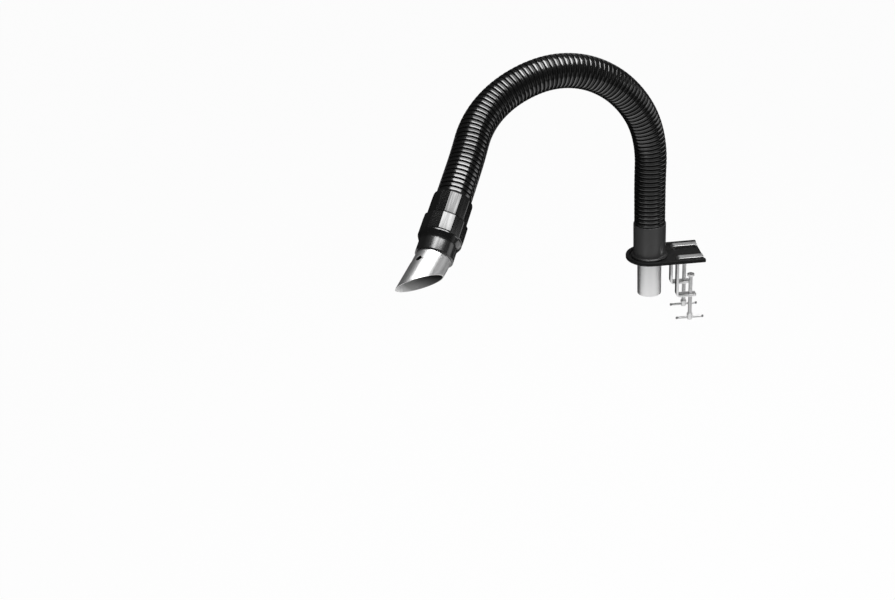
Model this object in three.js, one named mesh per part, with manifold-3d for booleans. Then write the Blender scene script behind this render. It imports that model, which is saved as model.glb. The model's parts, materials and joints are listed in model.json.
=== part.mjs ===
// Bench-clamped fume extraction arm: a stay-put ribbed hose on a swivelling collar, with a bevelled nozzle.
// Millimetres, +Z up. The origin is on the underside of the bracket's tongue, midway between the two clamp
// screws. +X runs along the tongue, away from the arm, and -Y is the side of the front clamp.

import * as THREE from 'three';
import { mergeVertices } from 'three/addons/utils/BufferGeometryUtils.js';
import loadManifold from 'manifold-3d';

const wasm = await loadManifold();
wasm.setup();

// Fits
const GAP = 0.3;              // clearance between neighbouring pieces
const THREAD_GAP = 0.45;      // radial clearance of the clamp screw in its hole

// Hose
const HOSE_RADIUS = 31.5;     // over the ribs
const RIB_HEIGHT = 2.4;
const HOSE_WALL = 1.2;        // below the grooves
const SECTION_LENGTH = 63;    // hose length that bends at one liner joint
const RIBS_PER_SECTION = 7;
const GROOVE_WIDTH = 3;
const HOSE_INSERT = 18;       // hose length held in the collar, and again in the cuff
const HOSE_SIDES = 10;
const BORE_RINGS = 3;         // rings of points along a section's bore

// Resting shape of the hose, in degrees: the way it first leans, from -X towards -Y, and each section's
// bend over the arch and to the side. The end sections are straight.
const LEAN_TURN = 52;
const REST_BENDS = [
  [0, 0], [-2, -1], [14.5, 7], [17.5, 7.5], [12.5, 6.5], [11.5, 10.5], [15, 10.5],
  [17, 8.5], [14.5, -0.5], [17, -9.5], [17, -9.5], [-3.5, -1.5], [0, 0],
];
const MAX_BEND = 20;          // furthest bend of one section either way, degrees

// Liner: ball-and-cup links inside the hose
const LINER_SIDES = 12;
const CUP_WALL = 1.3;
const CUP_LIP_ANGLE = 84;     // from the link's axis to the cup's lip, degrees
const NECK_CLEAR_ANGLE = 1;   // spare swing at the neck, degrees
const NECK_WALL = 1.6;
const BALL_RIM = 0.8;         // width of the ball's open end
const ARC_STEPS = 3;          // facets along the ball and along the cup
const BAND_WIDTH = 10;        // ring of a link that carries the hose
const LINER_SEAT = 22;        // length of the lowest link in the collar, below the hose's end
const TIP_SEAT = 4;           // length of the last link in the cuff, past the hose's end
const NECK_LENGTH = 16;       // from the joint centre down to the straight neck's foot

// Collar and spigot
const COLLAR_WALL = 1.5;      // round the hose
const COLLAR_HEIGHT = 73;
const BEAD_WIDTH = 4;         // bead round the collar's foot
const BEAD_HEIGHT = 5;
const SHOULDER = 2;           // rib inside the collar between the liner and the spigot
const SPIGOT_RADIUS = 25;
const SPIGOT_WALL = 1.5;
const SPIGOT_DROP = 84;       // below the bracket's underside
const WASHER_THICK = 1;
const RING_THICK = 2;         // retaining ring under the bracket
const RING_WIDTH = 4.3;
const RING_GROOVE = 0.6;

// Bracket
const FLOOR = 3.5;
const LIP_HEIGHT = 4;         // above the floor
const LIP_WIDTH = 8;
const GUTTER = 4;             // between the collar's bead and the rim
const TONGUE_REACH = 57;      // from the clamps' back face to the tongue's end

// Clamps
const BAR_WIDTH = 16;
const BAR_THICK = 5;
const BAR_BEND = 3;           // inner bend radius
const BEND_STEPS = 4;         // facets round each bend
const BAR_FROM_LIP = 3;
const BAR_FROM_FLANGE = 0.7;  // from the round of the flange to the back face
const ARM_INSET = 2;          // the upper arm stops short of the tongue's end
const ARM_PAST_SCREW = 11;    // from the screw's axis to the lower arm's end
const SCREW_FROM_BACK = 31;   // from the back face to the screw's axis
const JAW_OPENING = 78.5;     // from the bracket's underside to the lower arm
const PAD_GAP = 33;           // from the bracket's underside to the pad at rest
const PAD_RADIUS = 7.5;
const PAD_HEIGHT = 4;
const SCREW_RADIUS = 4;
const SCREW_BELOW = 44;       // from the lower arm to the screw's head at rest
const TIP_STEP = 1.5;         // from the shank in to the screw's tip
const PAD_ROOF = 1.7;         // metal of the pad above the tip
const HEAD_STEP = 2;          // from the shank out to the head
const HEAD_HEIGHT = 5;
const BOSS_STEP = 1;          // from the shank out to the boss
const BOSS_HEIGHT = 9;
const TOMMY_RADIUS = 2.5;
const TOMMY_LENGTH = 59;
const TOMMY_END_STEP = 0.8;   // from the tommy bar out to its upset ends
const TOMMY_END_LENGTH = 5;

// Cuff, along its axis from the edge where the hose goes in
const CUFF_SIDES = 12;
const CUFF_TURN = 10;         // turn of the flats about the cuff's axis, degrees
const CUFF_WALL = 3;
const CUFF_LENGTH = 44;
const CUFF_CHAMFER = 5;
const TAIL_WALL = 2.5;        // inner tail that the swivel sleeve turns on
const TAIL_STEP = 4;          // from the cuff's flats in to the tail
const TAIL_LENGTH = 30;
const SLEEVE_WALL = 6.9;      // from the tail's bearing out to the flats
const SLEEVE_CHAMFER = 3;
const SLEEVE_LENGTH = 38;     // faceted part
const SLEEVE_TAPER = 10.5;    // down to the nozzle socket
const STOP_WIDTH = 2.5;       // inner shoulder that the nozzle butts against
const SOCKET_LENGTH = 24;
const SOCKET_WALL = 2.9;
const SNAP_FROM_END = 3;      // from the tail's end to the snap ring
const SNAP_THICK = 1.6;
const SNAP_DEPTH = 1;         // reach of the snap ring into the tail, and into the sleeve
const SEAL_FROM_TOP = 6;
const SEAL_THICK = 3;
const SEAL_DEPTH = 1.6;

// Nozzle
const NOZZLE_RADIUS = 29.9;
const NOZZLE_WALL = 1.5;
const NOZZLE_LONG = 78.5;     // longest side outside the socket
const NOZZLE_SHORT = 28;      // shortest side
const NOZZLE_TURN = -174;     // direction of the longest side about the cuff's axis, degrees
const NOZZLE_LEAN = 10;       // lean of the part outside the socket towards its longest side, degrees
const KEYHOLE_DROP = 20;      // from the socket's edge
const KEYHOLE_WIDTH = 8;
const KEYHOLE_HEIGHT = 7;
const KEYHOLE_TAIL = 14;
const KEYHOLE_TAIL_HEIGHT = 2;
const KEYHOLE_TURNS = [0, -40]; // from the longest side, degrees

const ROUND_SIDES = 24;       // facets of round pieces
const SMALL_SIDES = 12;       // facets of the clamps' round pieces
const CUT = 1;                // how far a cutter runs past what it cuts
const WELD = 1e-4;            // points nearer than this are one

// Worked-out sizes
const rad = THREE.MathUtils.degToRad;
const hoseBore = HOSE_RADIUS - RIB_HEIGHT - HOSE_WALL;
const hoseBoreClear = hoseBore * Math.cos(Math.PI / HOSE_SIDES);
const collarRadius = HOSE_RADIUS + GAP + COLLAR_WALL;
const flangeRadius = collarRadius + BEAD_WIDTH + GUTTER + LIP_WIDTH;
const collarFoot = FLOOR + GAP + WASHER_THICK + GAP;
const collarTop = collarFoot + COLLAR_HEIGHT;
const backFace = flangeRadius + BAR_FROM_FLANGE;
const screwX = backFace + SCREW_FROM_BACK;
const clampY = flangeRadius - LIP_WIDTH - BAR_FROM_LIP - BAR_WIDTH / 2;
const bandRadius = hoseBoreClear - GAP;
const cupRadius = hoseBoreClear - jointOffset(rad(MAX_BEND)) - GAP;
const cupInside = cupRadius - CUP_WALL;
const cupSpan = Math.PI - rad(CUP_LIP_ANGLE);
const ballRadius = cupInside * Math.cos(Math.PI / LINER_SIDES) * Math.cos(cupSpan / ARC_STEPS / 2) - GAP;
const neckAngle = rad(CUP_LIP_ANGLE - MAX_BEND - NECK_CLEAR_ANGLE);
const neckRadius = ballRadius * Math.sin(neckAngle);
const linerBore = neckRadius - NECK_WALL;
const shankLength = JAW_OPENING - PAD_GAP - PAD_HEIGHT + BAR_THICK + SCREW_BELOW;
const tommyHeight = -shankLength - HEAD_HEIGHT - BOSS_HEIGHT / 2;
const tipRadius = SCREW_RADIUS - TIP_STEP;
const tipLength = PAD_HEIGHT - PAD_ROOF - GAP;
const cuffFlat = HOSE_RADIUS + GAP + CUFF_WALL;
const tailRadius = cuffFlat - TAIL_STEP;
const tailEnd = CUFF_LENGTH + TAIL_LENGTH;
const snapTop = tailEnd - SNAP_FROM_END;
const snapFoot = snapTop - SNAP_THICK;
const sleeveBore = tailRadius + GAP;
const sleeveStart = CUFF_LENGTH + GAP;
const sealStart = sleeveStart + SEAL_FROM_TOP;
const facetsEnd = sleeveStart + SLEEVE_LENGTH;
const socketStart = facetsEnd + SLEEVE_TAPER;
const socketBore = NOZZLE_RADIUS + GAP;
const socketEnd = socketStart + SOCKET_LENGTH;

// Half the straight length of a link that one bent section takes up: from its end to the joint centre
function tangentLength(angle) {
  return angle === 0 ? SECTION_LENGTH / 2 : SECTION_LENGTH / angle * Math.tan(angle / 2);
}

// Distance of a joint centre from the bent hose's own centre line
function jointOffset(angle) {
  return SECTION_LENGTH / angle * (1 / Math.cos(angle / 2) - 1);
}

function finish(color, roughness, metalness) {
  return new THREE.MeshStandardMaterial({ color, roughness, metalness });
}

const glossBlack = () => finish(0x0c0c0d, 0.28, 0);
const charcoal = () => finish(0x3a3a3c, 0.55, 0);
const linerGrey = () => finish(0x6d6f72, 0.5, 0);
const blackPaint = () => finish(0x1b1b1c, 0.4, 0.2);
const brightSteel = () => finish(0xc9cacb, 0.3, 1);
const satinAluminium = () => finish(0xd5d6d8, 0.35, 1);
const palePolymer = () => finish(0xe4e2da, 0.5, 0);
const sealRubber = () => finish(0x202020, 0.8, 0);

// A geometry with shared points and no collapsed triangles
function closed(geometry) {
  geometry.deleteAttribute('normal');
  geometry.deleteAttribute('uv');
  const welded = mergeVertices(geometry, WELD);
  const corners = welded.index.array;
  const kept = [];
  for (let i = 0; i < corners.length; i += 3) {
    const [a, b, c] = corners.slice(i, i + 3);
    if (a !== b && b !== c && c !== a) kept.push(a, b, c);
  }
  welded.setIndex(kept);
  return welded;
}

function toSolid(geometry) {
  const vertProperties = new Float32Array(geometry.attributes.position.array);
  const triVerts = new Uint32Array(geometry.index.array);
  return new wasm.Manifold(new wasm.Mesh({ numProp: 3, vertProperties, triVerts }));
}

function toGeometry(solid) {
  const { vertProperties, triVerts } = solid.getMesh();
  const geometry = new THREE.BufferGeometry();
  geometry.setAttribute('position', new THREE.BufferAttribute(vertProperties, 3));
  geometry.setIndex(Array.from(triVerts));
  return closed(geometry);
}

function cutAway(geometry, ...cutters) {
  return toGeometry(cutters.reduce((solid, cutter) => solid.subtract(toSolid(cutter)), toSolid(geometry)));
}

function joined(first, second) {
  return toGeometry(toSolid(first).add(toSolid(second)));
}

// Turns a profile of [radius, height] points about the Z axis; the points run up the outside, down the inside
function turned(profile, sides = ROUND_SIDES, startAngle = 0) {
  const points = profile.map(([radius, height]) => new THREE.Vector2(radius, height));
  return closed(new THREE.LatheGeometry(points, sides, startAngle).rotateX(Math.PI / 2));
}

function turnedRing(profile, sides, startAngle) {
  return turned([...profile, profile[0]], sides, startAngle);
}

function tube(inner, outer, low, high, sides) {
  return turnedRing([[inner, low], [outer, low], [outer, high], [inner, high]], sides);
}

function rod(radius, low, high, sides) {
  return turned([[0, low], [radius, low], [radius, high], [0, high]], sides);
}

function block(width, depth, height, x, y, z) {
  return closed(new THREE.BoxGeometry(width, depth, height).translate(x, y, z));
}

function extruded(shape, depth, curveSegments = SMALL_SIDES) {
  return new THREE.ExtrudeGeometry(shape, { depth, bevelEnabled: false, curveSegments });
}

// Points of an arc in a profile, from one angle to another; angles are measured from the downward axis
function arcPoints(radius, height, from, to) {
  return Array.from({ length: ARC_STEPS + 1 }, (_, i) => {
    const angle = from + (to - from) * i / ARC_STEPS;
    return [radius * Math.sin(angle), height - radius * Math.cos(angle)];
  });
}

function piece(name, geometry, material) {
  const mesh = new THREE.Mesh(geometry, material);
  mesh.name = name;
  return mesh;
}

function numbered(name, number) {
  return `${name}_${String(number).padStart(2, '0')}`;
}

// A resting bend as one turn: about +Y over the arch, about +X to the side
function bendOf([over, side]) {
  const angle = rad(Math.hypot(over, side));
  const axis = angle === 0 ? new THREE.Vector3(0, 1, 0) : new THREE.Vector3(side, over, 0).normalize();
  return { angle, axis };
}

// Point and turn of the hose's centre line at a distance along one section
function centreLine({ angle, axis }, along) {
  const turn = new THREE.Quaternion();
  const point = new THREE.Vector3(0, 0, along);
  const inside = THREE.MathUtils.clamp(along, 0, SECTION_LENGTH);
  if (angle !== 0) {
    const radius = SECTION_LENGTH / angle;
    const swing = inside / radius;
    const towards = new THREE.Vector3().crossVectors(axis, new THREE.Vector3(0, 0, 1));
    turn.setFromAxisAngle(axis, swing);
    point.set(0, 0, radius * Math.sin(swing)).addScaledVector(towards, radius * (1 - Math.cos(swing)));
    point.add(new THREE.Vector3(0, 0, along - inside).applyQuaternion(turn));
  }
  return { point, turn };
}

// One ribbed section of hose with its bore, from a start to an end along its bent centre line
function hoseSection(bend, start, end) {
  const pitch = SECTION_LENGTH / RIBS_PER_SECTION;
  const root = HOSE_RADIUS - RIB_HEIGHT;
  const rings = [[root, start + GAP / 2]];
  const ribs = Math.floor((end - start) / pitch + WELD);
  for (let rib = 0; rib < ribs; rib += 1) {
    const foot = start + rib * pitch;
    rings.push([HOSE_RADIUS, foot + GROOVE_WIDTH / 2]);
    rings.push([HOSE_RADIUS, foot + pitch - GROOVE_WIDTH / 2]);
    if (rib < ribs - 1) rings.push([root, foot + pitch]);
  }
  rings.push([root, end - GAP / 2]);
  const boreLength = end - start - GAP;
  for (let ring = BORE_RINGS - 1; ring >= 0; ring -= 1) {
    rings.push([hoseBore, start + GAP / 2 + boreLength * ring / (BORE_RINGS - 1)]);
  }
  return lofted(rings.map(([radius, along]) => ({ radius, ...centreLine(bend, along) })));
}

// Joins rings of points, the last to the first, into one closed skin
function lofted(rings) {
  const positions = [];
  const index = [];
  for (const { radius, point, turn } of rings) {
    for (let side = 0; side < HOSE_SIDES; side += 1) {
      const angle = side / HOSE_SIDES * 2 * Math.PI;
      const spoke = new THREE.Vector3(radius * Math.cos(angle), radius * Math.sin(angle), 0);
      positions.push(...spoke.applyQuaternion(turn).add(point));
    }
  }
  for (let ring = 0; ring < rings.length; ring += 1) {
    const here = ring * HOSE_SIDES;
    const next = (ring + 1) % rings.length * HOSE_SIDES;
    for (let side = 0; side < HOSE_SIDES; side += 1) {
      const beside = (side + 1) % HOSE_SIDES;
      index.push(here + side, here + beside, next + beside);
      index.push(here + side, next + beside, next + side);
    }
  }
  const geometry = new THREE.BufferGeometry();
  geometry.setAttribute('position', new THREE.Float32BufferAttribute(positions, 3));
  geometry.setIndex(index);
  return geometry;
}

// Upper end of a liner link: neck, ball and open rim round the next joint's centre
function ballProfile(jointHeight) {
  const rimAngle = Math.PI - Math.asin((linerBore + BALL_RIM) / ballRadius);
  const ball = arcPoints(ballRadius, jointHeight, neckAngle, rimAngle);
  const rimHeight = ball.at(-1)[1];
  return [[neckRadius, jointHeight - NECK_LENGTH], ...ball, [linerBore, rimHeight]];
}

// Lower end of a liner link: a cup round its own joint's centre, from the bore out to the lip
function cupProfile() {
  const inside = Math.PI - Math.asin(linerBore / cupInside);
  const lip = rad(CUP_LIP_ANGLE);
  const cup = arcPoints(cupInside, 0, inside, lip);
  const lipHeight = cup.at(-1)[1];
  return [...cup, [cupRadius, lipHeight], [cupRadius, cup[0][1]]];
}

function linerLink(length) {
  const middle = length / 2;
  const band = [[bandRadius, middle - BAND_WIDTH / 2], [bandRadius, middle + BAND_WIDTH / 2]];
  return turnedRing([...cupProfile(), ...band, ...ballProfile(length)], LINER_SIDES);
}

function linerBase(low, high, jointHeight) {
  const foot = [[linerBore, low], [bandRadius, low], [bandRadius, high]];
  return turnedRing([...foot, ...ballProfile(jointHeight)], LINER_SIDES);
}

function linerTip(low, high) {
  const end = [[bandRadius, low], [bandRadius, high], [linerBore, high]];
  return turnedRing([...cupProfile(), ...end], LINER_SIDES);
}

// Bracket: a round flange with a raised rim, and a tongue with a raised lip along both edges
function plateOutline(inset, end) {
  const half = flangeRadius - inset;
  const outline = new THREE.Shape();
  outline.moveTo(end, -half);
  outline.lineTo(end, half);
  outline.lineTo(0, half);
  outline.absarc(0, 0, half, Math.PI / 2, 3 * Math.PI / 2, false);
  outline.closePath();
  return outline;
}

function bracketPlate() {
  const end = backFace + TONGUE_REACH;
  const plate = closed(extruded(plateOutline(0, end), FLOOR + LIP_HEIGHT));
  const inside = extruded(plateOutline(LIP_WIDTH, end + CUT), LIP_HEIGHT + CUT);
  const pocket = closed(inside.translate(0, 0, FLOOR));
  const bore = rod(SPIGOT_RADIUS + GAP, -CUT, FLOOR + CUT);
  const slotLength = BAR_BEND + BAR_THICK + 2 * GAP;
  const slots = [-clampY, clampY].map((y) => block(slotLength, BAR_WIDTH + 2 * GAP, 2 * FLOOR + 2 * CUT,
    backFace - GAP + slotLength / 2, y, 0));
  return cutAway(plate, pocket, bore, ...slots);
}

// Collar: holds the hose's end, the liner's foot and the top of the spigot
function hoseCollar() {
  const hoseSeat = -HOSE_INSERT - GAP;
  const linerSeat = hoseSeat - LINER_SEAT;
  const spigotSeat = linerSeat - SHOULDER;
  const beadTop = BEAD_HEIGHT - COLLAR_HEIGHT;
  return turnedRing([
    [SPIGOT_RADIUS + GAP, -COLLAR_HEIGHT],
    [collarRadius + BEAD_WIDTH, -COLLAR_HEIGHT],
    [collarRadius + BEAD_WIDTH, beadTop - BEAD_WIDTH / 2],
    [collarRadius, beadTop],
    [collarRadius, 0],
    [HOSE_RADIUS + GAP, 0],
    [HOSE_RADIUS + GAP, hoseSeat],
    [bandRadius + GAP, hoseSeat],
    [bandRadius + GAP, linerSeat],
    [linerBore, linerSeat],
    [linerBore, spigotSeat],
    [SPIGOT_RADIUS + GAP, spigotSeat],
  ]);
}

function spigotTube() {
  const top = collarTop - HOSE_INSERT - GAP - LINER_SEAT - SHOULDER - GAP;
  const bore = SPIGOT_RADIUS - SPIGOT_WALL;
  const grooveFoot = -RING_THICK - 2 * GAP;
  return turnedRing([
    [bore, -SPIGOT_DROP],
    [SPIGOT_RADIUS, -SPIGOT_DROP],
    [SPIGOT_RADIUS, grooveFoot],
    [SPIGOT_RADIUS - RING_GROOVE, grooveFoot],
    [SPIGOT_RADIUS - RING_GROOVE, 0],
    [SPIGOT_RADIUS, 0],
    [SPIGOT_RADIUS, top],
    [bore, top],
  ]);
}

function retainingRing() {
  const inner = SPIGOT_RADIUS - RING_GROOVE + GAP;
  return tube(inner, inner + RING_WIDTH, -RING_THICK - GAP, -GAP);
}

function thrustWasher() {
  return tube(SPIGOT_RADIUS + GAP, collarRadius, FLOOR + GAP, FLOOR + GAP + WASHER_THICK);
}

// Clamp frame: flat bar bent into a C that hangs through the tongue, with a threaded hole in its lower arm
function clampFrame() {
  const outer = BAR_BEND + BAR_THICK;
  const top = FLOOR + GAP + BAR_THICK;
  const foot = -JAW_OPENING - BAR_THICK;
  const bendX = backFace + outer;
  const upperEnd = backFace + TONGUE_REACH - ARM_INSET;
  const lowerEnd = screwX + ARM_PAST_SCREW;
  const bar = new THREE.Shape();
  bar.moveTo(upperEnd, top);
  bar.absarc(bendX, top - outer, outer, Math.PI / 2, Math.PI, false);
  bar.absarc(bendX, foot + outer, outer, Math.PI, 3 * Math.PI / 2, false);
  bar.lineTo(lowerEnd, foot);
  bar.lineTo(lowerEnd, foot + BAR_THICK);
  bar.absarc(bendX, foot + outer, BAR_BEND, 3 * Math.PI / 2, Math.PI, true);
  bar.absarc(bendX, top - outer, BAR_BEND, Math.PI, Math.PI / 2, true);
  bar.lineTo(upperEnd, top - BAR_THICK);
  bar.closePath();
  const strip = extruded(bar, BAR_WIDTH, BEND_STEPS);
  strip.rotateX(Math.PI / 2).translate(0, BAR_WIDTH / 2, 0);
  const hole = rod(SCREW_RADIUS + THREAD_GAP, foot - CUT, foot + BAR_THICK + CUT, SMALL_SIDES);
  return cutAway(closed(strip), hole.translate(screwX, 0, 0));
}

// Pad, with a blind socket for the screw's tip; heights from the pad's underside
function clampPad() {
  const socket = tipRadius + GAP;
  const ceiling = tipLength + GAP;
  return turned([[0, ceiling], [socket, ceiling], [socket, 0], [PAD_RADIUS, 0], [PAD_RADIUS, PAD_HEIGHT],
    [0, PAD_HEIGHT]], SMALL_SIDES);
}

// Screw: tip, threaded shank, head and a boss drilled across for the tommy bar
function clampScrew() {
  const headTop = -shankLength;
  const headFoot = headTop - HEAD_HEIGHT;
  const bossFoot = headFoot - BOSS_HEIGHT;
  const boss = SCREW_RADIUS + BOSS_STEP;
  const head = SCREW_RADIUS + HEAD_STEP;
  const body = turned([[0, bossFoot], [boss, bossFoot], [boss, headFoot], [head, headFoot], [head, headTop],
    [SCREW_RADIUS, headTop], [SCREW_RADIUS, -GAP], [tipRadius, -GAP], [tipRadius, tipLength], [0, tipLength]],
  SMALL_SIDES);
  const hole = rod(TOMMY_RADIUS + GAP, -head, head, SMALL_SIDES);
  return cutAway(body, hole.rotateY(Math.PI / 2).translate(0, 0, tommyHeight));
}

// Tommy bar, with upset ends that keep it in the screw
function tommyBar() {
  const half = TOMMY_LENGTH / 2;
  const shoulder = half - TOMMY_END_LENGTH;
  const upset = TOMMY_RADIUS + TOMMY_END_STEP;
  return turned([[0, -half], [upset, -half], [upset, -shoulder], [TOMMY_RADIUS, -shoulder],
    [TOMMY_RADIUS, shoulder], [upset, shoulder], [upset, half], [0, half]],
  SMALL_SIDES).rotateY(Math.PI / 2);
}

// Prism with flats at the given distances from the axis, for the faceted outsides of the cuff
function facetedOutside(profile) {
  const corner = 1 / Math.cos(Math.PI / CUFF_SIDES);
  const points = profile.map(([flat, height]) => [flat * corner, height]);
  return turned([[0, points[0][1]], ...points, [0, points.at(-1)[1]]], CUFF_SIDES,
    rad(CUFF_TURN) + Math.PI / CUFF_SIDES);
}

// Upper cuff: grips the hose's end and the liner's tip, and ends in the tail that the sleeve turns on
function hoseCuff() {
  const hoseSeat = HOSE_INSERT + GAP;
  const linerSeat = hoseSeat + TIP_SEAT;
  const tailBore = tailRadius - TAIL_WALL;
  const grip = facetedOutside([[cuffFlat - CUFF_WALL / 2, 0], [cuffFlat, CUFF_CHAMFER],
    [cuffFlat, CUFF_LENGTH]]);
  const tail = rod(tailRadius, CUFF_LENGTH - CUT, tailEnd);
  const bore = turned([
    [0, -CUT],
    [HOSE_RADIUS + GAP, -CUT],
    [HOSE_RADIUS + GAP, hoseSeat],
    [bandRadius + GAP, hoseSeat],
    [bandRadius + GAP, linerSeat],
    [linerBore, linerSeat],
    [linerBore, linerSeat + SHOULDER],
    [tailBore, linerSeat + SHOULDER],
    [tailBore, tailEnd + CUT],
    [0, tailEnd + CUT],
  ]);
  const groove = tube(tailRadius - SNAP_DEPTH - GAP, tailRadius + CUT, snapFoot - GAP, snapTop + GAP);
  return cutAway(joined(grip, tail), bore, groove);
}

// Lower cuff: a faceted sleeve that turns on the tail, tapering to the socket that holds the nozzle
function swivelSleeve() {
  const flat = sleeveBore + SLEEVE_WALL;
  const socketOutside = socketBore + SOCKET_WALL;
  const stopBore = NOZZLE_RADIUS - STOP_WIDTH;
  const facets = facetedOutside([[flat - SLEEVE_CHAMFER, sleeveStart], [flat, sleeveStart + SLEEVE_CHAMFER],
    [flat, facetsEnd]]);
  const socket = turned([[0, facetsEnd - CUT], [flat, facetsEnd - CUT], [flat, facetsEnd],
    [socketOutside, socketStart], [socketOutside, socketEnd], [0, socketEnd]]);
  const bore = turned([
    [0, sleeveStart - CUT],
    [sleeveBore, sleeveStart - CUT],
    [sleeveBore, tailEnd + GAP],
    [stopBore, tailEnd + GAP + STOP_WIDTH],
    [stopBore, socketStart],
    [socketBore, socketStart],
    [socketBore, socketEnd + CUT],
    [0, socketEnd + CUT],
  ]);
  const snapGroove = tube(tailRadius - CUT, sleeveBore + SNAP_DEPTH + GAP, snapFoot - GAP, snapTop + GAP);
  const sealGroove = tube(tailRadius - CUT, sleeveBore + SEAL_DEPTH + GAP, sealStart - GAP,
    sealStart + SEAL_THICK + GAP);
  return cutAway(joined(facets, socket), bore, snapGroove, sealGroove);
}

function snapRing() {
  return tube(tailRadius - SNAP_DEPTH, sleeveBore + SNAP_DEPTH, snapFoot, snapTop);
}

function swivelSeal() {
  return tube(tailRadius + GAP, sleeveBore + SEAL_DEPTH, sealStart, sealStart + SEAL_THICK);
}

// Slants what lies above zero height towards +X
function leaned(geometry, slope) {
  const points = geometry.attributes.position;
  for (let i = 0; i < points.count; i += 1) {
    points.setX(i, points.getX(i) + Math.max(0, points.getZ(i)) * slope);
  }
  return geometry;
}

// Nozzle: a thin tube that leans over outside the socket and is cut on the bevel, longest towards +X before
// it is turned, with two keyholes in its wall. Heights are from the socket's edge.
function nozzleTube() {
  const foot = socketStart + GAP - socketEnd;
  const end = NOZZLE_LONG + CUT;
  const bore = NOZZLE_RADIUS - NOZZLE_WALL;
  const slope = Math.tan(rad(NOZZLE_LEAN));
  const pipe = turnedRing([[bore, foot], [NOZZLE_RADIUS, foot], [NOZZLE_RADIUS, 0], [NOZZLE_RADIUS, end],
    [bore, end], [bore, 0]]);
  const bevel = Math.atan2(NOZZLE_LONG - NOZZLE_SHORT, 2 * NOZZLE_RADIUS);
  const reach = NOZZLE_LONG + 2 * NOZZLE_RADIUS;
  const beyond = block(2 * reach, 2 * reach, 2 * reach, 0, 0, reach).rotateY(-bevel);
  const depth = 2 * NOZZLE_WALL + CUT;
  const keyhole = (width, height, y) => block(depth, width, height, NOZZLE_RADIUS, y, KEYHOLE_DROP);
  const keyholes = KEYHOLE_TURNS.flatMap((turn) => [
    keyhole(KEYHOLE_WIDTH, KEYHOLE_HEIGHT, 0).rotateZ(rad(turn)),
    keyhole(KEYHOLE_TAIL, KEYHOLE_TAIL_HEIGHT, -KEYHOLE_TAIL / 2).rotateZ(rad(turn)),
  ]);
  const lean = new THREE.Matrix4().makeShear(0, 0, 0, 0, slope, 0);
  const cutters = [beyond.translate(0, 0, (NOZZLE_LONG + NOZZLE_SHORT) / 2), ...keyholes];
  const cut = cutAway(leaned(pipe, slope), ...cutters.map((cutter) => cutter.applyMatrix4(lean)));
  return cut.rotateZ(rad(NOZZLE_TURN)).translate(0, 0, socketEnd);
}

// One clamp with its pad, screw and tommy bar
function clamp(side, y) {
  const group = new THREE.Group();
  group.position.set(0, y, 0);
  group.add(piece(`clamp_frame_${side}`, clampFrame(), brightSteel()));
  const lift = new THREE.Group();
  lift.position.set(screwX, 0, -PAD_GAP - PAD_HEIGHT);
  lift.add(piece(`clamp_pad_${side}`, clampPad(), brightSteel()));
  lift.add(piece(`clamp_screw_${side}`, clampScrew(), brightSteel()));
  const bar = piece(`tommy_bar_${side}`, tommyBar(), brightSteel());
  bar.position.set(0, 0, tommyHeight);
  lift.add(bar);
  group.add(lift);
  return group;
}

// Cuff, sleeve and nozzle, on the hose's end
function cuff() {
  const group = new THREE.Group();
  group.add(piece('hose_cuff', hoseCuff(), glossBlack()));
  group.add(piece('swivel_sleeve', swivelSleeve(), glossBlack()));
  group.add(piece('swivel_snap_ring', snapRing(), brightSteel()));
  group.add(piece('swivel_seal', swivelSeal(), sealRubber()));
  group.add(piece('nozzle', nozzleTube(), satinAluminium()));
  return group;
}

// Hose and liner: each link hangs on the one before, turned by its resting bend
function hoseAndLiner() {
  const base = new THREE.Group();
  const bends = REST_BENDS.map(bendOf);
  const last = bends.length - 1;
  let link = base;
  let reach = 0;
  bends.forEach((bend, i) => {
    const number = i + 1;
    const half = tangentLength(bend.angle);
    const start = i === 0 ? -HOSE_INSERT : 0;
    const end = i === last ? SECTION_LENGTH + HOSE_INSERT : SECTION_LENGTH;
    const skin = piece(numbered('hose_section', number), hoseSection(bend, start, end), glossBlack());
    skin.position.set(0, 0, reach);
    link.add(skin);
    const shape = i === 0
      ? linerBase(-HOSE_INSERT - LINER_SEAT, half - NECK_LENGTH - BAND_WIDTH, half)
      : linerLink(reach + half);
    link.add(piece(i === 0 ? 'liner_base' : numbered('liner_link', i), shape, linerGrey()));
    const joint = new THREE.Group();
    joint.name = numbered('flex', number);
    joint.position.set(0, 0, reach + half);
    joint.quaternion.setFromAxisAngle(bend.axis, bend.angle);
    link.add(joint);
    link = joint;
    reach = half;
  });
  link.add(piece('liner_tip', linerTip(reach - BAND_WIDTH, reach + HOSE_INSERT + TIP_SEAT), linerGrey()));
  const end = cuff();
  end.position.set(0, 0, reach);
  link.add(end);
  return base;
}

// The arm above the bracket, which turns on it
function swivelArm() {
  const group = new THREE.Group();
  group.rotation.z = Math.PI + rad(LEAN_TURN);
  group.add(piece('spigot_tube', spigotTube(), satinAluminium()));
  group.add(piece('retaining_ring', retainingRing(), brightSteel()));
  const collar = piece('hose_collar', hoseCollar(), charcoal());
  collar.position.set(0, 0, collarTop);
  group.add(collar);
  const hose = hoseAndLiner();
  hose.position.set(0, 0, collarTop);
  group.add(hose);
  return group;
}

function extractionArm() {
  const arm = new THREE.Group();
  arm.position.set(-screwX, 0, 0);
  arm.add(piece('bracket_plate', bracketPlate(), blackPaint()));
  arm.add(piece('thrust_washer', thrustWasher(), palePolymer()));
  arm.add(clamp('front', -clampY));
  arm.add(clamp('rear', clampY));
  arm.add(swivelArm());
  const whole = new THREE.Group();
  whole.name = 'fume_extraction_arm';
  whole.add(arm);
  return whole;
}

export default extractionArm();
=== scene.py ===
# Looks of a bench-clamped fume extraction arm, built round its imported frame. Metres, +Z up.
import json
import math

import bpy
import numpy as np
from mathutils import Matrix, Vector


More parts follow.
